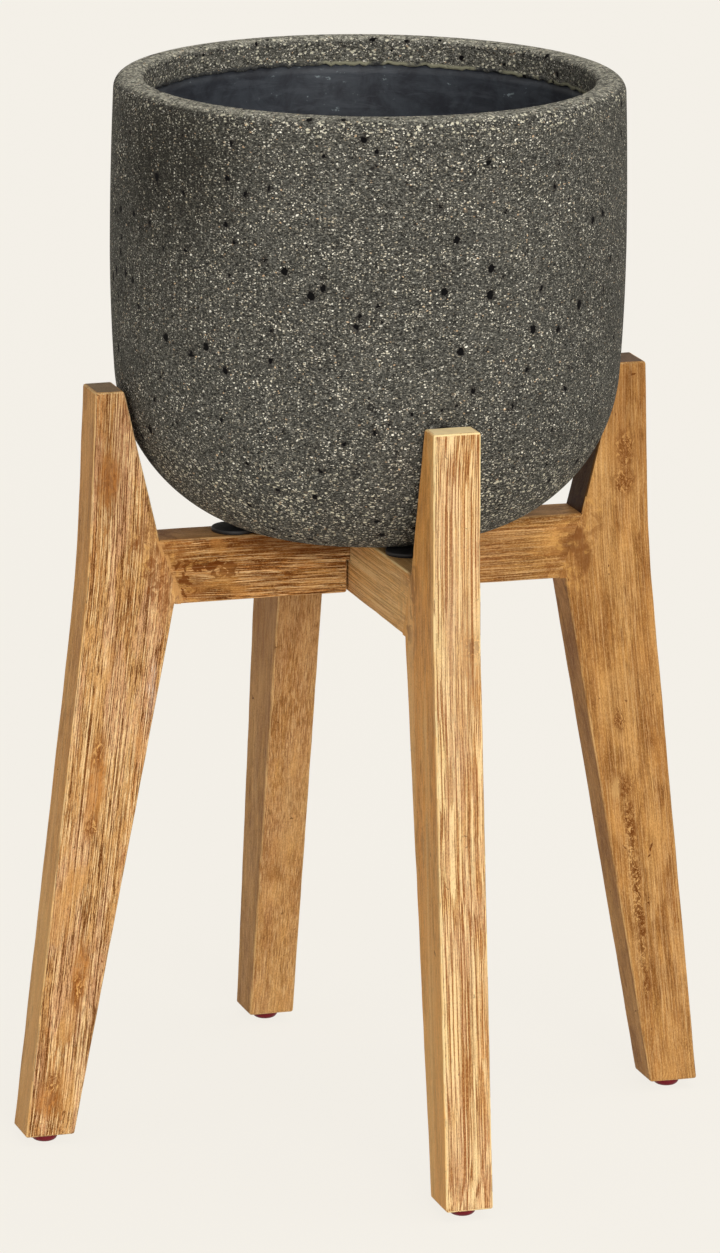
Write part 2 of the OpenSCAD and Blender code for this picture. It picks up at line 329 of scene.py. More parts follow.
def turned_tree(name):
    """A node tree that turns a half section about the upright axis."""
    tree = bpy.data.node_groups.new(name, "GeometryNodeTree")
    sockets = {}
    for label, kind, default in (("Section", "NodeSocketGeometry", None),
                                 ("Around", "NodeSocketInt", 256),
                                 ("Centre", "NodeSocketVector", None),
                                 ("Unevenness", "NodeSocketFloat", 0.0),
                                 ("Lump size", "NodeSocketFloat", 0.05),
                                 ("Rag depth", "NodeSocketFloat", 0.0),
                                 ("Seed", "NodeSocketFloat", 0.0),
                                 ("Finish", "NodeSocketMaterial", None)):
        made = tree.interface.new_socket(label, in_out="INPUT", socket_type=kind)
        if default is not None:
            made.default_value = default
        sockets[label] = made.identifier
    tree.interface.new_socket("Turned", in_out="OUTPUT", socket_type="NodeSocketGeometry")
    given = tree.nodes.new("NodeGroupInput")

    def node(kind, inputs, output=0, **settings):
        made = tree.nodes.new(kind)
        for key, value in settings.items():
            setattr(made, key, value)
        for key, value in inputs.items():
            if isinstance(value, bpy.types.NodeSocket):
                tree.links.new(value, made.inputs[key])
            else:
                made.inputs[key].default_value = value
        return made.outputs[output]

    def maths(operation, *values):
        return node("ShaderNodeMath", dict(enumerate(values)), operation=operation)

    def added(first, second):
        return node("ShaderNodeVectorMath", {0: first, 1: second}, operation="ADD")

    def scaled(way, size):
        return node("ShaderNodeVectorMath", {0: way, "Scale": size}, operation="SCALE")

    count = node("GeometryNodeAttributeDomainSize", {"Geometry": given.outputs["Section"]})
    columns = maths("ADD", given.outputs["Around"], 1.0)
    grid = node("GeometryNodeMeshGrid", {"Vertices X": columns, "Vertices Y": count})
    square = node("ShaderNodeSeparateXYZ", {0: node("GeometryNodeInputPosition", {})}).node
    turn = maths("MULTIPLY", maths("ADD", square.outputs["X"], 0.5), math.tau)
    last_row = maths("SUBTRACT", count, 1.0)
    row = maths("ROUND", maths("MULTIPLY", maths("ADD", square.outputs["Y"], 0.5), last_row))

    def sampled(data_type, value):
        """A value of the section's point that a grid point stands for."""
        inputs = {"Geometry": given.outputs["Section"], "Value": value, "Index": row}
        return node("GeometryNodeSampleIndex", inputs, data_type=data_type)

    def stored(label):
        return sampled("FLOAT", node("GeometryNodeInputNamedAttribute", {"Name": label}, data_type="FLOAT"))

    point = sampled("FLOAT_VECTOR", node("GeometryNodeInputPosition", {}))
    flat = node("ShaderNodeSeparateXYZ", {0: point}).node
    across = node("ShaderNodeCombineXYZ", {"X": maths("COSINE", turn), "Y": maths("SINE", turn)})
    raised = node("ShaderNodeCombineXYZ", {"Z": flat.outputs["Z"]})
    whole = added(scaled(across, flat.outputs["X"]), raised)
    lump_rate = maths("DIVIDE", 1.0, given.outputs["Lump size"])
    lumps = node("ShaderNodeTexNoise", {"Vector": whole, "W": given.outputs["Seed"], "Detail": 2.0,
                                        "Scale": lump_rate}, noise_dimensions="4D")
    bulge = maths("MULTIPLY", maths("SUBTRACT", lumps, 0.5), given.outputs["Unevenness"])
    tear_rate = 7.0
    tears = node("ShaderNodeTexNoise", {"Vector": scaled(across, tear_rate), "W": given.outputs["Seed"],
                                        "Detail": 3.0}, noise_dimensions="4D")
    torn = maths("MULTIPLY", maths("SUBTRACT", tears, 0.5), stored("rag"))
    drop = node("ShaderNodeCombineXYZ", {"Z": maths("MULTIPLY", torn, given.outputs["Rag depth"])})
    moved = added(scaled(across, bulge), drop)
    centred = added(added(whole, moved), given.outputs["Centre"])
    marked = grid
    for label in ("lip", "rubbed_and_lit"):
        inputs = {"Geometry": marked, "Name": label, "Value": stored(label)}
        marked = node("GeometryNodeStoreNamedAttribute", inputs, data_type="FLOAT")
    set_points = node("GeometryNodeSetPosition", {"Geometry": marked, "Position": centred})
    weld_reach = 0.01 * MM
    welded = node("GeometryNodeMergeByDistance", {"Geometry": set_points, "Distance": weld_reach})
    real = node("GeometryNodeRealizeInstances", {"Geometry": welded})
    smooth = node("GeometryNodeSetShadeSmooth", {"Geometry": real})
    coated = node("GeometryNodeSetMaterial", {"Geometry": smooth, "Material": given.outputs["Finish"]})
    out = tree.nodes.new("NodeGroupOutput")
    tree.links.new(coated, out.inputs[0])
    return tree, sockets


turning, turning_inputs = turned_tree("turned_piece")


def turned(name, section, finish, around, centre=(0, 0, 0), uneven=0.0, lump=0.05, rag_depth=0.0,
           seed=0.0, rag=(), lip=(), rubbed_and_lit=()):
    """A piece turned from its half section, with around points to a full turn.

    uneven is how far the surface wanders, lump the size of its lumps and
    rag_depth how far a ragged edge is torn down, in metres. rag, lip and the
    rubbed share are shares for each point of the section; the rubbed share is dust
    on the rim and painted light on the band inside it.
    """
    strip = bpy.data.meshes.new(name + "_section")
    strip.from_pydata([(r, 0, z) for r, z in section], [(i, i + 1) for i in range(len(section) - 1)], [])
    for label, values in (("rag", rag), ("lip", lip), ("rubbed_and_lit", rubbed_and_lit)):
        layer = strip.attributes.new(label, "FLOAT", "POINT")
        layer.data.foreach_set("value", list(values) if values else [0.0] * len(section))
    holder = bpy.data.objects.new(name + "_section", strip)
    bpy.context.scene.collection.objects.link(holder)
    modifier = holder.modifiers.new("turning", "NODES")
    modifier.node_group = turning
    for label, value in (("Around", around), ("Centre", centre), ("Unevenness", uneven),
                         ("Lump size", lump), ("Rag depth", rag_depth), ("Seed", seed), ("Finish", finish)):
        modifier[turning_inputs[label]] = value
    ready = holder.evaluated_get(bpy.context.evaluated_depsgraph_get())
    mesh = bpy.data.meshes.new_from_object(ready)
    mesh.name = name
    holder.modifiers.remove(modifier)
    bpy.data.objects.remove(holder)
    shape = bmesh.new()
    shape.from_mesh(mesh)
    bmesh.ops.recalc_face_normals(shape, faces=shape.faces)
    shape.to_mesh(mesh)
    shape.free()
    piece = bpy.data.objects.new(name, mesh)
    bpy.context.scene.collection.objects.link(piece)
    return piece


outer_round_z = pot_rim - rim_outer_round
inner_round_z = pot_rim - rim_inner_round
outer_round_r = shoulder_curve_r - rim_outer_round
inner_round_r = shoulder_curve_r - rim_t + rim_inner_round
rim_start = math.asin((outer_round_z - belly_z) / outer_round_r)
rim_end = math.asin((inner_round_z - belly_z) / inner_round_r)
rim_outer_x = shoulder_x + outer_round_r * math.cos(rim_start)
rim_inner_x = shoulder_x + inner_round_r * math.cos(rim_end)
band_end = math.asin((lining_top - belly_z) / (shoulder_curve_r - rim_t))

outer_side = lower_wall(0, pot_base) + shoulder(0, pot_rim)
outer_side = [point for point in outer_side if point[1] < outer_round_z]
upright = math.pi / 2
rim_round = arc(rim_outer_x, outer_round_z, rim_outer_round, rim_start, upright, outer_rim_steps)
rim_round += arc(rim_inner_x, inner_round_z, rim_inner_round, upright, math.pi + rim_end, inner_rim_steps)
band = arc(shoulder_x, belly_z, shoulder_curve_r - rim_t, rim_end, band_end, band_steps)[1:]
recess = list(reversed(lower_wall(wall_inset, stone_floor) + shoulder(wall_inset, lining_top)))
under = [(drain_r, pot_base)] + line((drain_r, pot_base), outer_side[0], under_steps)
inside_floor = line(recess[-1], (drain_r, stone_floor), floor_steps)
inside_floor += [(drain_r, stone_floor), (drain_r, pot_base)]
ledge = line(band[-1], recess[0], ledge_steps)
section = under + outer_side + rim_round + band + ledge + recess + inside_floor

# The rim's top is rubbed and dusty, the band inside is washed paler as painted
# light, and it ends in a ragged lip.
rim_first = len(under) + len(outer_side)
band_first = rim_first + len(rim_round)
band_stop = band_first + len(band)
rubbed_depth = 3 * MM
# Share of pale wash on the band inside the rim: painted light.
band_painted_light = 0.15
ledge_rag = 0.8
rag = [0.0] * len(section)
lip = [0.0] * len(section)
rubbed_and_lit = [0.0] * len(section)
for index, point in enumerate(rim_round):
    rubbed_and_lit[rim_first + index] = max(0.0, 1 - (pot_rim - point[1]) / rubbed_depth)
for index in range(band_first, band_stop):
    share = (index - band_first + 1) / len(band)
    rag[index] = share ** 3
    lip[index] = share ** 6
    rubbed_and_lit[index] = band_painted_light
lip[band_stop] = 1.0
rag[band_stop] = ledge_rag

# The cement between the grit is flaky, darker low down, more so at the right,
# and has a patch of painted shade high on the left, where less grit shows.
stone = Finish("stone_composite")
spot = stone.place()
spot_x = stone.node("ShaderNodeSeparateXYZ", {}, {0: spot}, "X")
spot_y = spot_x.other("Y")
spot_z = spot_x.other("Z")
jitter = stone.node("ShaderNodeTexNoise", {}, {"Vector": spot, "Scale": 560.0, "Detail": 1.0}, "Color")


def shaken(reach):
    """Places moved about by up to a reach, which makes outlines ragged."""
    return stone.places("MULTIPLY_ADD", jitter, (reach, reach, reach), spot)


gently_shaken = shaken(1.5 * MM)
flaky = stone.stretched(gently_shaken, 0.85, 0.85, 1.35)
large_cloud = stone.cloud(spot, 9)
base_cloud = stone.cloud(spot, 40, 4.0, 0.6)
fine_cloud = stone.cloud(stone.stretched(gently_shaken, 640, 640, 1350), 1.0, 3.0, 0.75)
# Where the patch of painted shade high on the left sits, and how far it reaches.
shade_patch_place = Vector((-140, -60, 604)) * MM
shade_patch_core = 40 * MM
shade_patch_reach = 110 * MM
shade_patch_fray = 50 * MM
shade_patch_way = stone.places("DISTANCE", spot, shade_patch_place, output="Value")
shade_patch = stone.ease(shade_patch_way + base_cloud * shade_patch_fray, shade_patch_reach, shade_patch_core)
low_shade = stone.ease(spot_z, pot_base + 120 * MM, pot_base)
at_right = stone.ease(spot_x, 50 * MM, 120 * MM)
cement_and_shade = stone.layered(stone.mix(base_cloud, srgb(64, 63, 58), srgb(86, 85, 79)), [
    (stone.ease(large_cloud, 0.65, 0.35) * 0.35, srgb(56, 54, 49)),
    # Painted shade high on the left of the pot.
    (shade_patch * 0.9, srgb(46, 44, 38)),
    (low_shade * 0.3, srgb(48, 47, 43)),
    (at_right * low_shade * 0.4, srgb(40, 38, 34))])
flake_light = stone.ease(fine_cloud, 0.52, 0.68) * (0.7 - shade_patch * 0.45)
body_colour = stone.mix(stone.ease(fine_cloud, 0.36, 0.54), srgb(28, 27, 25), cement_and_shade)
body_colour = stone.mix(flake_light, body_colour, srgb(154, 152, 142))


def grit(per_metre, least, radius, soft):
    """Share of the surface covered by one size of grit, and its random tint.

    A line of one metre crosses about per_metre cells. Every cell has a random
    rank, and only cells ranked above least hold a grain, whose radius is a
    share of the cell.
    """
    near = stone.cells(flaky, per_metre)
    rank = stone.parts(near.other("Color"))
    size = rank.other("Green") * (radius * 0.7) + radius * 0.5
    inside = stone.ease(near / size, 1.0 + soft, 1.0 - soft)
    return inside * stone.ease(rank, least, least + 0.25), rank.other("Blue")


# Pale grit in three sizes, some of it buff, and dark crumbs. A fourth size
# shows on the band inside the rim and on the rim's outer round.
fine_grit, fine_tint = grit(per_metre=960, least=0.3, radius=0.4, soft=0.18)
coarse_grit, coarse_tint = grit(per_metre=590, least=0.62, radius=0.34, soft=0.14)
large_grit, large_tint = grit(per_metre=230, least=0.93, radius=0.26, soft=0.25)
band_grit = grit(per_metre=370, least=0.3, radius=0.31, soft=0.2)[0]
crumb = grit(per_metre=440, least=0.5, radius=0.32, soft=0.35)[0]
crowd = stone.ease(stone.cloud(spot, 70, 4.0, 0.7), 0.4, 0.56)
fine_share = fine_grit * (crowd * 0.45 + 0.47 - shade_patch * 0.35 - at_right * 0.14)
coarse_share = coarse_grit * (crowd * 0.5 + 0.5 - shade_patch * 0.25 - at_right * 0.2)
fine_colour = stone.mix(stone.ease(fine_tint, 0.35, 0.95), srgb(118, 112, 98), srgb(255, 248, 228))
coarse_colour = stone.mix(stone.ease(coarse_tint, 0.3, 0.6), srgb(255, 250, 234), srgb(206, 194, 168))
coarse_colour = stone.mix(stone.ease(coarse_tint, 0.84, 0.92), coarse_colour, srgb(210, 178, 142))
large_colour = stone.mix(stone.ease(large_tint, 0.6, 0.85), srgb(232, 224, 204), srgb(212, 180, 144))
from_axis = stone.places("LENGTH", stone.stretched(spot, 1, 1, 0), output="Value")
inside_rim = stone.ease(from_axis, pot_r - 3 * MM, pot_r - rim_t)
on_round = stone.ease(spot_z, pot_rim - 15 * MM, pot_rim - 5 * MM) * (1 - shade_patch * 0.35)
in_band = stone.maths("MAXIMUM", inside_rim, on_round)

# Air holes in about half the cells of a coarse pattern, each with a shallow
# hollow round it. The holes are painted near black as the shade inside them.
holes_per_metre = 108
hole_near = stone.cells(stone.stretched(shaken(2.6 * MM), 1.0, 1.0, 0.8), holes_per_metre)
hole_rank = stone.parts(hole_near.other("Color"))
hole_size = hole_rank.other("Green") * 0.17 + 0.06
has_hole = stone.ease(hole_rank, 0.48, 0.52)
hole = stone.ease(hole_near / hole_size, 1.1, 0.95) * has_hole
hollow = stone.ease(hole_near / hole_size, 2.3, 0.9) * has_hole

# Pale dust rubbed over the rim, most at its sides and its far part; the same
# pale wash on the band inside the rim is painted light. The lip is bare stone on
# the right and painted dark on the left as a shadow line.
streaks = stone.ease(stone.cloud(spot, 260, 3.0, 0.75), 0.42, 0.58)
at_sides = stone.ease(stone.maths("ABSOLUTE", spot_x), 60 * MM, 130 * MM)
at_back = stone.ease(spot_y, 60 * MM, 130 * MM)
dust_and_band_light = stone.stored("rubbed_and_lit") * (streaks * 0.75 + 0.2) * (at_sides * 0.35 + at_back * 0.3 + 0.65)
dust_and_light_colour = stone.mix(stone.ease(fine_cloud, 0.44, 0.55), srgb(102, 100, 89), srgb(204, 200, 182))
lip_edge = stone.ease(stone.stored("lip"), 0.2, 0.5)
lip_break = stone.ease(stone.cloud(spot, 55, 3.0, 0.6), 0.36, 0.5)
lip_clean = stone.ease(spot_x, -12 * MM, 12 * MM) * lip_break

stone_colour = stone.layered(body_colour, [
    (dust_and_band_light * 0.8, dust_and_light_colour),
    (fine_share, fine_colour),
    (coarse_share, coarse_colour),
    (large_grit, large_colour),
    (band_grit * in_band * 0.95, srgb(212, 206, 182)),
    (crumb * (0.75 - dust_and_band_light * 0.35), srgb(24, 23, 21)),
    (dust_and_band_light * 0.2, srgb(186, 182, 164)),
    (lip_edge * lip_clean, srgb(146, 143, 120)),
    # Painted shadow along the lip on the left.
    (lip_edge * (1 - lip_clean) * 0.8, srgb(56, 57, 58)),
    (hollow * 0.4, srgb(40, 34, 32)),
    # Holes painted near black as the shade inside them.
    (hole, srgb(6, 5, 6))])
stone_height = (fine_cloud * 0.6 + fine_grit * 0.25 + coarse_grit * 0.35 + large_grit * 0.3 - crumb * 0.7
                - hollow * 0.8 - hole * 2.0)
stone_bump = stone.bump(stone_height, strength=0.9, depth=0.6 * MM)
stone_finish = stone.surface(Base_Color=stone_colour, Roughness=0.9, Specular_IOR_Level=0.12,
                             Normal=stone_bump)

pot_shell = turned("pot_stone", section, stone_finish, around=288, uneven=0.6 * MM, lump=90 * MM,
                   rag_depth=8 * MM, seed=3.0, rag=rag, lip=lip, rubbed_and_lit=rubbed_and_lit)
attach(pot_shell, "pot")
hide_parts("pot_shell")


# Pot lining. A smooth dark coat of fibre cement brushed on inside the pot to
# seal it, with faint strokes whose shine is painted as paler colour, and small
# glints painted as highlights. It starts just under the ragged lip.
lining_outer = lower_wall(wall_inset, stone_floor) + shoulder(wall_inset, lining_top)
lining_inner = list(reversed(lower_wall(lining_inset, lining_floor) + shoulder(lining_inset, lining_top)))
coat_steps = 10
lining_section = ([(drain_r, stone_floor)] + line((drain_r, stone_floor), lining_outer[0], coat_steps)
                  + lining_outer + lining_inner + line(lining_inner[-1], (drain_r, lining_floor), coat_steps)
                  + [(drain_r, lining_floor), (drain_r, stone_floor)])

coat = Finish("lining_coat")
coat_spot = coat.place()
strokes = coat.cloud(coat.stretched(coat_spot, 40, 40, 190), 1.0, 4.0, 0.65, 1.0)
patches = coat.cloud(coat_spot, 48, 5.0, 0.7, 0.6)
drips = coat.cloud(coat.stretched(coat_spot, 170, 170, 330), 1.0, 3.0, 0.6)
# Glints are painted highlights, pale spots where the coat is also a little glossier.
glints = coat.ease(drips, 0.62, 0.7) * coat.ease(patches, 0.54, 0.62)
coat_colour = coat.layered(srgb(38, 40, 46), [
    (coat.ease(patches, 0.35, 0.68), srgb(60, 64, 70)),
    (coat.ease(strokes, 0.5, 0.66) * 0.3, srgb(82, 86, 92)),
    (glints * 0.6, srgb(150, 162, 164))])
coat_height = strokes * 0.5 + coat.cloud(coat_spot, 260, 3.0) * 0.25
coat_bump = coat.bump(coat_height, strength=0.5, depth=0.8 * MM)
coat_rough = 0.55 - glints * 0.2
lining_finish = coat.surface(Base_Color=coat_colour, Roughness=coat_rough, Specular_IOR_Level=0.3,
                             Normal=coat_bump)

pot_lining = turned("pot_inner_coat", lining_section, lining_finish, around=192, uneven=0.8 * MM,
                    lump=40 * MM, seed=8.0)
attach(pot_lining, "pot")
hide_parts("pot_lining")


# Drain stopper. A black rubber plug pushed into the hole in the pot's floor
# from inside, with a broad flange and a tab to pull it out by.
rubber = Finish("black_rubber")
rubber_spot = rubber.place()
rubber_dust = rubber.cloud(rubber_spot, 90, 3.0, 0.6)
rubber_colour = rubber.mix(rubber_dust, srgb(20, 20, 22), srgb(40, 39, 40))
rubber_height = rubber.cloud(rubber_spot, 1400)
rubber_bump = rubber.bump(rubber_height, strength=0.3, depth=0.3 * MM)
rubber_finish = rubber.surface(Base_Color=rubber_colour, Roughness=0.6, Normal=rubber_bump)


def dress(nodes, finish):
    """Gives a finish to pieces that keep the shape of the solids."""
    for node in nodes:
        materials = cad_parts[node].data.materials
        materials.clear()
        materials.append(finish)


dress(["drain_plug"], rubber_finish)


# Boards of the stand. Rails and legs are sawn from golden brown hardwood
# planks, wire-brushed so that the hard grain stands out, stained and oiled.
# Each leg is a bent, tapering board glued and dowelled to the end of its rail.
board_half = 14.25 * MM
rail_low, rail_high = [corner.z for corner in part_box("rail_left_right")]
rail_mid = (rail_low + rail_high) / 2
ease_r = 1.5 * MM
left_face = board_half
right_face = -board_half

# Each board starts at its own place in the grain's pattern. The grain runs up
# a leg, and out from the middle along a rail.
grain_starts = {"left": (0.0, 0.3, 0.1), "right": (1.7, 0.9, 0.4), "front": (3.1, 1.6, 0.8),
                "back": (4.6, 2.2, 1.3), "left_right": (6.2, 3.0, 2.0), "front_back": (8.4, 3.9, 2.6)}
wood = Finish("brushed_wood")
grain = wood.stored("grain", "Vector")


def grained(place, along, across, detail=2.0, roughness=0.5, warp=0.0):
    """A cloud with so many lumps to the metre along the grain and across it."""
    return wood.cloud(wood.stretched(place, along, across, across), 1.0, detail, roughness, warp)


def bent(place, cloud, reach):
    """Moves the grain sideways by a cloud, up to half the reach either way."""
    push = (cloud - 0.5) * reach
    sideways = wood.node("ShaderNodeCombineXYZ", {}, {"Y": push, "Z": push})
    return wood.places("ADD", place, sideways)


def any_of(shares):
    """The largest of several shares."""
    largest = shares[0]
    for share in shares[1:]:
        largest = wood.maths("MAXIMUM", largest, share)
    return largest


blurred = bent(grain, grained(grain, 120, 120, 3.0), 8 * MM)


def patch(board, along, aside, across, long, wide):
    """1 at one place of a board, fading out over a length and a width, in millimetres.

    Along is the height on a leg and the distance from the middle on a rail.
    Aside is measured from a leg's outer edge, inwards below 0, and is the
    height on a rail. Across is the place in the board's thickness, in metres.
    """
    centre = Vector(grain_starts[board]) + Vector((along * MM, aside * MM, across))
    way = wood.places("SUBTRACT", blurred, centre)
    scaled = wood.stretched(way, 1 / (long * MM), 1 / (wide * MM), 1 / (wide * MM))
    return wood.ease(wood.places("LENGTH", scaled, output="Value"), 1.0, 0.3)


def marks(board, across, *places):
    """Several patches on one face, each as along, aside, length and width."""
    return any_of([patch(board, along, aside, across, long, wide) for along, aside, long, wide in places])


# How each side is finished: brushed and bleached are shares, and deep is its
# stain, dark above 0 and pale below. Above 1 it is painted shadow, and the pale
# stain of sides that face left is partly the lighter wood of smooth sides and
# partly painted light. Seam is the distance from the glued joint.
brushed = wood.stored("brushed")
bleached = wood.stored("bleached")
deep = wood.stored("deep")
deep_up = wood.maths("MAXIMUM", deep, 0.0)
pale_side = wood.ease(deep, 0.0, -0.5)
seam = wood.stored("from_seam")
near_seam = wood.ease(seam, 24 * MM, 6 * MM)

# The pattern of the grain, from the finest pores to broad clouds.
swept = bent(grain, grained(grain, 6, 14), 6 * MM)
waved = bent(swept, grained(grain, 60, 300), 0.2 * MM)
crumbs = grained(waved, 800, 1500, 2.0, 0.7)
long_lines = grained(waved, 7, 1380, 1.0)
short_lines = grained(waved, 95, 1600, 2.0, 0.6)
straight = bleached * 0.6 + deep_up * 0.1 + 0.54
fibres = long_lines * straight + short_lines * (1 - straight)
furrows = grained(waved, 26, 800, 2.0, 0.5, 0.2)
streaky = grained(swept, 34, 280, 4.0, 0.65, 0.5)
rings = grained(swept, 4, 150, 3.0, 0.55)
bands = grained(swept, 2.5, 110)
mottle = grained(grain, 25, 95, 5.0, 0.65, 0.6)
zones = grained(grain, 24, 55, 3.0, 0.6, 0.4)
broad = grained(grain, 14, 40, 3.0, 0.6, 0.3)
greyed = wood.ease(grained(grain, 13, 80, 3.0, 0.6), 0.46, 0.56)
curls = grained(blurred, 170, 380, 3.0, 0.6, 1.5)
fine_curls = grained(blurred, 420, 620, 2.0, 0.6, 1.0)
blots = grained(blurred, 190, 250, 1.0, 0.5, 0.8)
swirls = wood.cloud(wood.place(), 95, 4.0, 0.6, 1.2)

# Marks of single boards: smooth brown patches, knots, blots of stain beside
# the joints, a smudge over the right joint, and a worm track down the right leg.
browned = any_of([
    marks("left", left_face, (222, -18, 42, 8), (406, -10, 24, 9), (104, -22, 30, 7), (29, -11, 16, 9)),
    patch("front", 322, 0, 10 * MM, 28, 8)])
knotty = any_of([
    marks("left", left_face, (241, -18, 11, 6), (196, -19, 12, 6), (96, -22, 16, 5), (40, -13, 10, 8)),
    marks("right", right_face, (404, -14, 18, 9), (385, -15, 14, 10), (237, -29, 12, 5), (196, -30, 12, 10),
          (172, -28, 22, 5), (138, -27, 22, 4), (105, -27, 22, 4), (72, -27, 18, 3)),
    patch("front", 333, 0, 11 * MM, 10, 7)])
rail_blot = (marks("left_right", right_face, (-110, 349, 17, 10), (-93, 347, 18, 9), (-114, 339, 8, 11))
             + patch("left_right", -91, 348, right_face, 12, 8) * 0.5)
rail_stain = wood.ease(rail_blot + blots * 3.2, 2.44, 2.56)
joint_blot = marks("left", left_face, (350, -37, 14, 7), (337, -42, 17, 9), (366, -27, 9, 4))
joint_stain = wood.ease(joint_blot + blots * 2.6, 2.1, 2.25)
smudge_place = any_of([marks("left_right", right_face, (124, 347, 15, 11), (133, 339, 14, 12)),
                       marks("right", right_face, (350, -46, 14, 9), (340, -43, 16, 8))])
smudge = wood.ease(smudge_place + curls * 1.2, 0.8, 1.5)
worm = patch("right", 128, -28, right_face, 78, 3.6) * wood.ease(fine_curls, 0.44, 0.53)
worm_rim = patch("right", 132, -29, right_face, 84, 7) * wood.ease(fine_curls, 0.47, 0.38)
vein = wood.ease(wood.maths("ABSOLUTE", curls - 0.5), 0.09, 0.035)
knot_dark = wood.maths("MAXIMUM", vein, wood.ease(curls, 0.53, 0.6) * 0.8)
knot_light = wood.ease(curls, 0.45, 0.38)
knot_break = wood.ease(fine_curls, 0.4, 0.54) * 0.5 + 0.4

# How far the brushed grain stands out: less on bare patches, knots and seams.
bare = wood.maths("MAXIMUM", wood.ease(zones, 0.56, 0.68) * (1 - bleached * 1.7), browned * 0.8)
calm = patch("left_right", 88, 345, right_face, 70, 60) * 0.6
relief = brushed * (1 - calm) * (1 - bare * 0.6) * (1 - knotty * 0.6) * (1 - near_seam * 0.7)
heavy = wood.ease(deep, 0.5, 0.9) * relief
ridge = wood.ease(fibres, 0.545, 0.57)
ridge_share = relief * (0.7 - wood.ease(deep, 0.0, 1.0) * 0.12) + 0.08
groove = wood.ease(fibres - deep_up * brushed * 0.018, 0.455, 0.43)
ticks = wood.ease(short_lines, 0.44, 0.37) * wood.ease(zones, 0.54, 0.46)
figure = rings * (brushed * 0.8 + 0.2) + zones * (0.8 - brushed * 0.8)

pale_tone = wood.mix(wood.ease(figure, 0.3, 0.7), srgb(182, 130, 78), srgb(212, 162, 104))
deep_tone = wood.mix(wood.ease(figure, 0.32, 0.66), srgb(136, 89, 39), srgb(183, 131, 71))
bright_tone = wood.mix(rings, srgb(216, 142, 66), srgb(240, 176, 96))
brown_tone = wood.mix(wood.ease(curls + streaky, 0.9, 1.1), srgb(186, 120, 54), srgb(134, 76, 28))
knot_tone = wood.mix(brushed, srgb(98, 50, 14), srgb(122, 66, 20))
groove_tone = wood.layered(srgb(108, 62, 26), [
    (deep_up, srgb(70, 34, 12)),
    (bleached, srgb(172, 108, 56))])

# A cream band and an orange one run down the narrow side of the front leg.
cream_band = patch("front", 215, 0, -9 * MM, 340, 7)
orange_band = patch("front", 190, 0, 11 * MM, 340, 6)

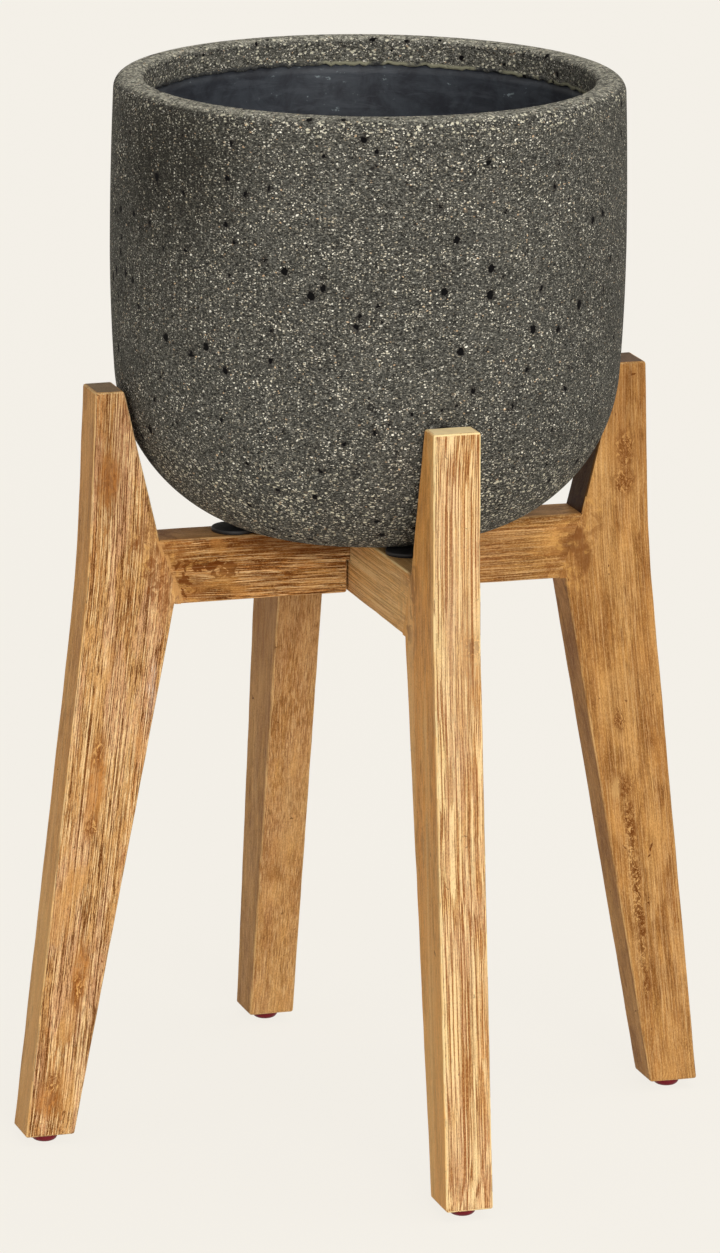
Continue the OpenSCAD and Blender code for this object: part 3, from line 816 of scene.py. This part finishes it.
stain = wood.layered(wood.mix(deep, pale_tone, deep_tone), [
    (wood.ease(deep, 0.0, -1.0), bright_tone),
    # Clouds and streaks of stain, dark and light in turn.
    (wood.ease(mottle, 0.5, 0.66) * (brushed * 0.24 + 0.42), srgb(124, 74, 30)),
    (wood.ease(mottle, 0.46, 0.3) * (0.45 - deep_up * 0.15), srgb(214, 162, 92)),
    (wood.ease(streaky, 0.52, 0.66) * (0.24 - brushed * 0.18), srgb(116, 66, 20)),
    (wood.ease(streaky, 0.47, 0.34) * (0.24 - brushed * 0.18), srgb(226, 172, 96)),
    (wood.ease(broad, 0.5, 0.62) * (0.4 - brushed * 0.26), srgb(208, 160, 98)),
    (wood.ease(broad, 0.47, 0.37) * (0.2 - brushed * 0.04), srgb(146, 90, 34)),
    # Bands of the figure, and a greyish bloom on pale brushed sides.
    (wood.ease(bands, 0.53, 0.6) * brushed * 0.4, srgb(188, 122, 66)),
    (wood.ease(bands, 0.45, 0.37) * bleached * 1.2, srgb(250, 222, 164)),
    (cream_band * brushed * 0.2, srgb(246, 208, 140)),
    (orange_band * brushed * 0.5, srgb(192, 120, 56)),
    (relief * greyed * wood.ease(deep, 0.9, 0.1) * 0.6, srgb(208, 160, 122)),
    # Brushed grain: pale ridges, dark grooves, coarse furrows and pores.
    (ridge * ridge_share, srgb(246, 210, 156)),
    (groove * (relief * 0.88 + 0.12), groove_tone),
    (wood.ease(furrows, 0.455, 0.42) * heavy * 0.68, srgb(80, 38, 10)),
    (wood.ease(furrows, 0.55, 0.59) * heavy * 0.5, srgb(238, 188, 128)),
    (wood.ease(crumbs, 0.49, 0.38) * (brushed * 0.1 + 0.22), srgb(100, 54, 16)),
    (wood.ease(crumbs, 0.52, 0.64) * (brushed * 0.12 + 0.14), srgb(244, 200, 130)),
    (ticks * (0.4 - brushed * 0.06), srgb(92, 50, 20)),
    # Marks of single boards.
    (smudge * 0.7, srgb(108, 62, 26)),
    (rail_stain * 0.84, srgb(88, 40, 6)),
    (joint_stain * 0.62, srgb(122, 64, 20)),
    (bare * brushed * 0.28, srgb(208, 150, 80)),
    (browned * (0.5 + wood.ease(mottle, 0.4, 0.6) * 0.35), brown_tone),
    (knotty * knot_dark * knot_break, knot_tone),
    (knotty * knot_light * (brushed * 0.3 + 0.25), srgb(226, 178, 110)),
    (worm_rim * 0.5, srgb(226, 180, 116)),
    (worm * 0.64, srgb(98, 52, 14)),
    (patch("right", 195, -35, right_face, 10, 5) * 0.5, srgb(218, 174, 112)),
    (near_seam * wood.ease(swirls, 0.46, 0.62) * 0.6, srgb(122, 72, 32)),
    (near_seam * wood.ease(swirls, 0.45, 0.36) * 0.4, srgb(216, 164, 90)),
    (bleached * (0.16 + ridge * 0.44) * (1 - groove), srgb(254, 226, 170)),
    # Places where a board is darker or lighter than the rest of it; among them are
    # painted shade and painted light.
    # Painted shade at the top of the left leg.
    (patch("left", 416, -10, left_face, 62, 18) * 0.34, srgb(116, 72, 40)),
    (patch("right", 420, -10, right_face, 70, 26) * 0.24, srgb(122, 72, 26)),
    (patch("front_back", -80, 345, left_face, 90, 40) * 0.4, srgb(246, 200, 134)),
    # Painted shadow of the pot on the upper part of the left-right rail.
    (patch("left_right", -34, 361, right_face, 80, 14) * 0.64, srgb(84, 42, 14)),
    (patch("left_right", -80, 345, right_face, 110, 40) * 0.16, srgb(150, 84, 22)),
    # Painted shade of the pot and rails at the top of the back leg.
    (patch("back", 330, -20, 0, 150, 70) * 0.36, srgb(124, 74, 34)),
    (patch("left_right", 48, 345, right_face, 60, 40) * 0.14, srgb(158, 90, 60)),
    (patch("back", 160, -28, -10 * MM, 70, 24) * 0.2, srgb(216, 172, 104)),
    (patch("front", 330, 0, 0, 110, 13) * 0.1, srgb(238, 214, 176)),
    # Painted light low on the sides that face left, on the front and left legs.
    (patch("front", 60, -20, 0, 150, 70) * pale_side * 0.34, srgb(246, 198, 130)),
    (patch("left", 80, 0, 0, 150, 60) * pale_side * 0.24, srgb(246, 198, 130)),
    (patch("left", 276, -46, left_face, 24, 4) * (0.1 + ridge * 0.5), srgb(240, 230, 220))])

# The eased edges are rubbed pale and carry a painted highlight, a joint may be
# filled with pale putty, and where deep is above 1 the colour is a painted
# shadow, nearly black.
arris_break = wood.ease(grained(grain, 60, 300, 3.0), 0.34, 0.46)
arris = wood.ease(wood.stored("worn_and_highlit"), 0.4, 1.0) * arris_break * wood.ease(deep, 1.3, 0.5)
putty_break = wood.ease(grained(grain, 170, 170, 3.0), 0.38, 0.54)
putty = wood.stored("putty") * wood.ease(seam, 2.6 * MM, 1.4 * MM) * putty_break
board_colour = wood.layered(stain, [
    (arris * (bleached * 1.4 + 0.15), srgb(254, 226, 166)),
    (putty, srgb(192, 142, 86)),
    # Stain deeper than 1 is painted shadow, nearly black.
    (wood.ease(deep, 1.0, 2.0), srgb(44, 18, 6))])
wood_height = (ridge - groove) * relief + short_lines * 0.15 - knotty * 0.3
wood_bump = wood.bump(wood_height, strength=0.7, depth=0.6 * MM)
wood_rough = 0.5 + relief * 0.2
wood_finish = wood.surface(Base_Color=board_colour, Roughness=wood_rough, Specular_IOR_Level=0.05,
                           Normal=wood_bump)

# The sawn ends of the legs show dry pores, and are bleached on the front leg.
butt = Finish("board_end_grain")
butt_spot = butt.place()
pores = butt.cloud(butt_spot, 1100, 3.0, 0.7)
butt_rings = butt.cloud(butt.stretched(butt_spot, 120, 120, 20), 1.0, 3.0, 0.6)
butt_colour = butt.layered(srgb(92, 74, 60), [
    (butt_rings, srgb(136, 108, 84)),
    (butt.ease(pores, 0.55, 0.4) * 0.6, srgb(58, 42, 32)),
    (butt.stored("bleached") * (0.7 + butt_rings * 0.4), srgb(250, 224, 170))])
butt_bump = butt.bump(pores, strength=0.4, depth=0.4 * MM)
end_finish = butt.surface(Base_Color=butt_colour, Roughness=0.8, Specular_IOR_Level=0.25, Normal=butt_bump)


def sawn(name, across, thick, along, place, kept, joint_edge, end_grain):
    """A board as the skin of a block of cells, with its free edges eased.

    place gives a corner's point, kept says which cells the board has,
    joint_edge tells the edges of a glued joint, which stay sharp, and
    end_grain says whether the lowest and highest faces are sawn ends.
    """
    shape = bmesh.new()
    points = {}

    def corner(*step):
        if step not in points:
            points[step] = shape.verts.new(place(*step))
        return points[step]

    def face(corners, end=False):
        made = shape.faces.new([corner(*step) for step in corners])
        made.material_index = 1 if end and end_grain else 0

    for i in range(across):
        for k in range(along):
            if not kept(i, k):
                continue
            for j, order in ((0, 1), (thick, -1)):
                face([(i, j, k), (i + 1, j, k), (i + 1, j, k + 1), (i, j, k + 1)][::order])
            for j in range(thick):
                if i == 0 or not kept(i - 1, k):
                    face([(i, j, k), (i, j, k + 1), (i, j + 1, k + 1), (i, j + 1, k)])
                if i == across - 1 or not kept(i + 1, k):
                    face([(i + 1, j, k), (i + 1, j + 1, k), (i + 1, j + 1, k + 1), (i + 1, j, k + 1)])
                if k == 0 or not kept(i, k - 1):
                    face([(i, j, k), (i, j + 1, k), (i + 1, j + 1, k), (i + 1, j, k)], k == 0)
                if k == along - 1 or not kept(i, k + 1):
                    up = k + 1
                    face([(i, j, up), (i + 1, j, up), (i + 1, j + 1, up), (i, j + 1, up)], up == along)
    bmesh.ops.recalc_face_normals(shape, faces=shape.faces)
    # Eased edges are marked for pale wear and a painted highlight.
    worn_and_highlit_layer = shape.verts.layers.float.new("worn_and_highlit")
    corner_turn = math.radians(40)
    free = [edge for edge in shape.edges
            if edge.is_convex and edge.calc_face_angle(0.0) > corner_turn and not joint_edge(edge)]
    eased = bmesh.ops.bevel(shape, geom=free, offset=ease_r, segments=3, profile=0.5, affect="EDGES",
                            clamp_overlap=True, loop_slide=True)
    round_faces = set(eased["faces"])
    round_corners = {vertex for made in round_faces for vertex in made.verts}
    arris_corners = {vertex for vertex in round_corners if round_faces.issuperset(vertex.link_faces)}
    unevenness = 0.22 * MM
    lump_rate = 55
    start = Vector((len(name), 0, 0))
    for vertex in shape.verts:
        vertex[worn_and_highlit_layer] = 1.0 if vertex in arris_corners else 0.0
        vertex.co += vertex.normal * noise.noise(vertex.co * lump_rate + start) * unevenness
    mesh = bpy.data.meshes.new(name)
    shape.to_mesh(mesh)
    shape.free()
    mesh.materials.append(wood_finish)
    mesh.materials.append(end_finish)
    piece = bpy.data.objects.new(name, mesh)
    bpy.context.scene.collection.objects.link(piece)
    return piece


def surface_marks(piece, sides, grain_at, seam_at, putty_here):
    """Stores how the board's grain runs, how each side is brushed, and its joints.

    sides maps a direction to its shares of brushing, bleaching and deep stain.
    """
    mesh = piece.data
    shares = [sides[max(sides, key=lambda side: face.normal.dot(Vector(side)))] for face in mesh.polygons]
    points = [vertex.co for vertex in mesh.vertices]
    for label, part in (("brushed", 0), ("bleached", 1), ("deep", 2)):
        layer = mesh.attributes.new(label, "FLOAT", "FACE")
        layer.data.foreach_set("value", [share[part] for share in shares])
    for label, measure in (("from_seam", seam_at), ("putty", putty_here)):
        layer = mesh.attributes.new(label, "FLOAT", "POINT")
        layer.data.foreach_set("value", [measure(point) for point in points])
    running = mesh.attributes.new("grain", "FLOAT_VECTOR", "POINT")
    running.data.foreach_set("vector", [part for point in points for part in grain_at(point)])


# The legs' outline, in the plane of a leg. It leans in above the rail and
# splays out below it, with a large round bend between, and narrows to the foot.
leg_low, leg_high = [corner.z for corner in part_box("leg_right")]
foot_w = 30 * MM
foot_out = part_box("leg_right")[1].x
foot_in = foot_out - foot_w
leg_gap = 0.8 * MM
leg_top_w = 17.5 * MM
leg_in_top = pot_r + leg_gap
leg_out_top = leg_in_top + leg_top_w
joint_slant = math.radians(18.7)
joint_high_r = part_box("rail_left_right")[1].x
joint_low_r = joint_high_r - (rail_high - rail_low) * math.tan(joint_slant)
joint_step = 3.8 * MM
bend_r = 1000 * MM
upper_lean = math.radians(2.0)
lower_splay = math.radians(6.45)


def joint_r(z):
    """Distance of the joint between rail and leg from the axis at a height."""
    share = max(0.0, min(1.0, (z - rail_low) / (rail_high - rail_low)))
    return joint_low_r + (joint_high_r - joint_low_r) * share


def outer_edge(z):
    """Distance of a leg's outer edge from the stand's axis at a height."""
    upper = leg_out_top + (leg_high - z) * math.tan(upper_lean)
    bend_x = leg_out_top + (leg_high - rail_mid) * math.tan(upper_lean)
    lower = bend_x + (rail_mid - z) * math.tan(lower_splay)
    reach = bend_r * math.tan((lower_splay - upper_lean) / 2)
    high_z = rail_mid + reach * math.cos(upper_lean)
    low_z = rail_mid - reach * math.cos(lower_splay)
    if z >= high_z:
        return upper
    if z <= low_z:
        return lower
    centre_x = bend_x - reach * math.sin(upper_lean) + bend_r * math.cos(upper_lean)
    centre_z = high_z + bend_r * math.sin(upper_lean)
    return centre_x - math.sqrt(bend_r ** 2 - (z - centre_z) ** 2)


def inner_edge(z):
    """Distance of a leg's inner edge from the axis, without its joint tip."""
    if z >= rail_high:
        share = (z - rail_high) / (leg_high - rail_high)
        return joint_high_r + (leg_in_top - joint_high_r) * share + joint_step
    if z >= rail_low:
        return joint_r(z) + joint_step
    share = (z - leg_low) / (rail_low - leg_low)
    return foot_in + (joint_low_r + joint_step - foot_in) * share


def even_steps(start, end, step):
    """Levels from start up to end, about a step apart, without the end."""
    count = max(1, round((end - start) / step))
    return [start + (end - start) * index / count for index in range(count)]


leg_step = 5 * MM
joint_row = 4 * MM
leg_levels = (even_steps(leg_low, rail_low, leg_step) + even_steps(rail_low, rail_high, joint_row)
              + even_steps(rail_high, leg_high, leg_step) + [leg_high])
leg_columns = 5
thick_steps = 4
ledge_row = leg_levels.index(rail_low)


def make_leg(name, turn, body, putty_share, sides):
    """One leg, made in its own plane and turned about the stand's axis."""
    swing = Matrix.Rotation(math.radians(turn), 4, "Z")
    unswing = swing.inverted()
    knee_reach = 10 * MM
    below_joint = 1 * MM
    above_joint = 0.1 * MM

    def place(i, j, k):
        z = leg_levels[k]
        if i <= leg_columns:
            r = outer_edge(z) + (inner_edge(z) - outer_edge(z)) * i / leg_columns
        else:
            r = inner_edge(z) - joint_step
        return swing @ Vector((r, board_half * (2 * j / thick_steps - 1), z))

    def kept(i, k):
        return i < leg_columns or k >= ledge_row

    def joint_edge(edge):
        middle = unswing @ ((edge.verts[0].co + edge.verts[1].co) / 2)
        beside_rail = rail_low - below_joint < middle.z < rail_high + above_joint
        return beside_rail and middle.x < joint_r(middle.z) + knee_reach

    def grain_at(point):
        flat = unswing @ point
        return Vector((flat.z, flat.x - outer_edge(flat.z), flat.y)) + Vector(grain_starts[name])

    def seam_at(point):
        flat = unswing @ point
        beyond = max(0.0, flat.z - rail_high, rail_low - flat.z)
        return math.hypot(flat.x - joint_r(flat.z), beyond)

    leg = sawn("leg_board_" + name, leg_columns + 1, thick_steps, len(leg_levels) - 1, place, kept,
               joint_edge, end_grain=True)
    surface_marks(leg, sides, grain_at, seam_at, lambda point: putty_share)
    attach(leg, body)
    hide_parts("leg_" + name)


front = (0, -1, 0)
left = (-1, 0, 0)
back = (0, 1, 0)
right = (1, 0, 0)
top = (0, 0, 1)
under_side = (0, 0, -1)
left_above_rail = (-0.98, 0, 0.19)
left_below_rail = (-0.98, 0, -0.19)

# Each side is given its brushing, its bleaching and how deep its stain is.
# The left-facing sides of the left and front legs are paler, partly as painted
# light from the left. The inner side of the right leg is nearly black above the
# rail, painted as the pot's shadow.
make_leg("left", turn=180, body="upper_frame", putty_share=1.0, sides={
    front: (1.0, 0.05, 0.15), left: (0.12, 0.1, -0.5), back: (0.5, 0.0, 0.3),
    right: (0.3, 0.0, 0.4), top: (0.2, 0.1, 0.5)})
make_leg("right", turn=0, body="upper_frame", putty_share=0.0, sides={
    front: (0.18, 0.0, 0.9), left_above_rail: (0.1, 0.0, 1.7), left_below_rail: (0.1, 0.0, 0.6),
    back: (0.8, 0.0, 0.3), right: (0.8, 0.0, 0.2), top: (0.2, 0.0, 0.5)})
make_leg("front", turn=270, body="lower_frame", putty_share=0.0, sides={
    front: (0.85, 0.5, 0.1), left: (0.06, 0.2, -1.0), back: (0.2, 0.0, 0.4),
    right: (0.5, 0.0, 0.3), top: (0.2, 1.0, 0.0)})
make_leg("back", turn=90, body="lower_frame", putty_share=0.0, sides={
    front: (0.26, 0.05, 0.25), left: (0.2, 0.0, 0.3), back: (0.8, 0.0, 0.2),
    right: (0.3, 0.0, 0.3), top: (0.2, 0.2, 0.3)})


def make_rail(name, turn, body, gap, notch_above, putty_share, sides):
    """One rail with slanted ends and the notch of the half-lap.

    The notch is wider than the crossing rail by a gap on either side. Of the
    two joints only the left one, before the rail is turned, may have putty.
    """
    swing = Matrix.Rotation(math.radians(turn), 4, "Z")
    unswing = swing.inverted()
    notch_half = board_half + gap
    side_steps = 14
    plain = [notch_half / joint_high_r + (1 - notch_half / joint_high_r) * step / side_steps
             for step in range(side_steps + 1)]
    shares = [-share for share in reversed(plain)] + plain
    middle = side_steps
    half_rows = 3
    near_joint = 0.1 * MM
    rows = [rail_low + (rail_high - rail_low) * step / (2 * half_rows) for step in range(2 * half_rows + 1)]

    def place(i, j, k):
        z = rows[k]
        x = joint_r(z) * shares[i]
        if i in (middle, middle + 1):
            x = notch_half if i > middle else -notch_half
        return swing @ Vector((x, board_half * (2 * j / thick_steps - 1), z))

    def kept(i, k):
        return i != middle or (k < half_rows) == notch_above

    def joint_edge(edge):
        ends = [unswing @ vertex.co for vertex in edge.verts]
        return all(abs(abs(end.x) - joint_r(end.z)) < near_joint for end in ends)

    def grain_at(point):
        flat = unswing @ point
        return Vector((flat.x, flat.z, flat.y)) + Vector(grain_starts[name])

    def seam_at(point):
        flat = unswing @ point
        return joint_r(flat.z) - abs(flat.x)

    def putty_here(point):
        return putty_share if (unswing @ point).x < 0 else 0.0

    rail = sawn("rail_board_" + name, len(shares) - 1, thick_steps, len(rows) - 1, place, kept,
                joint_edge, end_grain=False)
    surface_marks(rail, sides, grain_at, seam_at, putty_here)
    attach(rail, body)
    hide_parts("rail_" + name)


# The front-back rail's left side is paler, partly as painted light from the left, and its top is bleached so
# that its eased edges carry a painted highlight.
make_rail("left_right", turn=0, body="upper_frame", gap=1.2 * MM, notch_above=False, putty_share=1.0, sides={
    front: (1.0, 0.0, 0.9), back: (0.9, 0.0, 0.4), left: (0.5, 0.0, 0.4), right: (0.5, 0.0, 0.4),
    top: (0.1, 0.0, 0.1), under_side: (0.5, 0.0, 0.4)})
make_rail("front_back", turn=90, body="lower_frame", gap=0.4 * MM, notch_above=True, putty_share=0.0, sides={
    left: (0.7, 0.45, -1.0), right: (0.8, 0.0, 0.4), front: (0.5, 0.0, 0.4), back: (0.5, 0.0, 0.4),
    top: (0.1, 0.4, 0.0), under_side: (0.5, 0.0, 0.4)})


# Dowels. Fluted beech pins glued across each joint between leg and rail, so
# only their ends would show if the joint were opened.
beech = Finish("beech_dowel")
beech_fibres = beech.cloud(beech.stretched(beech.place(), 600, 600, 60), 1.0, 3.0)
beech_colour = beech.mix(beech_fibres, srgb(196, 160, 116), srgb(222, 192, 150))
beech_finish = beech.surface(Base_Color=beech_colour, Roughness=0.7)
dress(["dowels_left_right", "dowels_front_back"], beech_finish)


# Pads. Round black rubber discs with an eased top edge, stuck on the rails.
# The pot rests on the four of them.
pad_r = 13 * MM
pad_t = 2.5 * MM
pad_round = 0.8 * MM
flat_steps = 3
pad_round_steps = 4
pad_top = rail_high + pad_t
pad_low, pad_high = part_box("pad_right")
pad_out = (pad_low.x + pad_high.x) / 2
pad_section = ([(0, rail_high)] + line((0, rail_high), (pad_r, rail_high), flat_steps)
               + [(pad_r, rail_high), (pad_r, pad_top - pad_round)]
               + arc(pad_r - pad_round, pad_top - pad_round, pad_round, 0, math.pi / 2, pad_round_steps)
               + [(0, pad_top)])


def on_every_arm(name, kind, section, finish, around, out):
    """The same turned piece on each arm of the stand, out from the middle."""
    for side, way, body in (("left", left, "upper_frame"), ("right", right, "upper_frame"),
                            ("front", front, "lower_frame"), ("back", back, "lower_frame")):
        piece = turned(name + side, section, finish, around, centre=[part * out for part in way])
        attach(piece, body)
        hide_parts(kind + "_" + side)


on_every_arm("rubber_pad_", "pad", pad_section, rubber_finish, around=48, out=pad_out)


# Glides. Glossy dark red plastic domes, each with a steel nail moulded in,
# hammered into the end of a foot so that the stand slides on the floor.
plastic = Finish("dark_red_plastic")
plastic_spot = plastic.place()
plastic_scuffs = plastic.cloud(plastic_spot, 300, 4.0, 0.7)
plastic_colour = plastic.mix(plastic_scuffs, srgb(92, 6, 18), srgb(126, 18, 34))
plastic_rough = plastic_scuffs * 0.25 + 0.3
plastic_finish = plastic.surface(Base_Color=plastic_colour, Roughness=plastic_rough, Specular_IOR_Level=0.25)
glide_r = 8 * MM
glide_flat_r = 4.5 * MM
glide_arris = 0.2 * MM
dome_steps = 10
foot_mid = (foot_in + foot_out) / 2
dome_round = glide_r - glide_flat_r
glide_section = ([(0, 0)] + line((0, 0), (glide_flat_r, 0), flat_steps)
                 + arc(glide_flat_r, dome_round, dome_round, -math.pi / 2, 0, dome_steps)
                 + [(glide_r, leg_low - glide_arris), (glide_r - glide_arris, leg_low), (0, leg_low)])
on_every_arm("foot_glide_", "glide", glide_section, plastic_finish, around=64, out=foot_mid)

steel = Finish("bright_nail_wire")
steel_drawn = steel.cloud(steel.stretched(steel.place(), 900, 900, 60), 1.0, 2.0)
steel_finish = steel.surface(Base_Color=steel.mix(steel_drawn, srgb(170, 170, 172), srgb(205, 205, 208)),
                             Metallic=1.0, Roughness=0.35)
dress(["nails_left_right", "nails_front_back"], steel_finish)


# Colours are shown as they are written.
bpy.context.scene.view_settings.view_transform = "Standard"
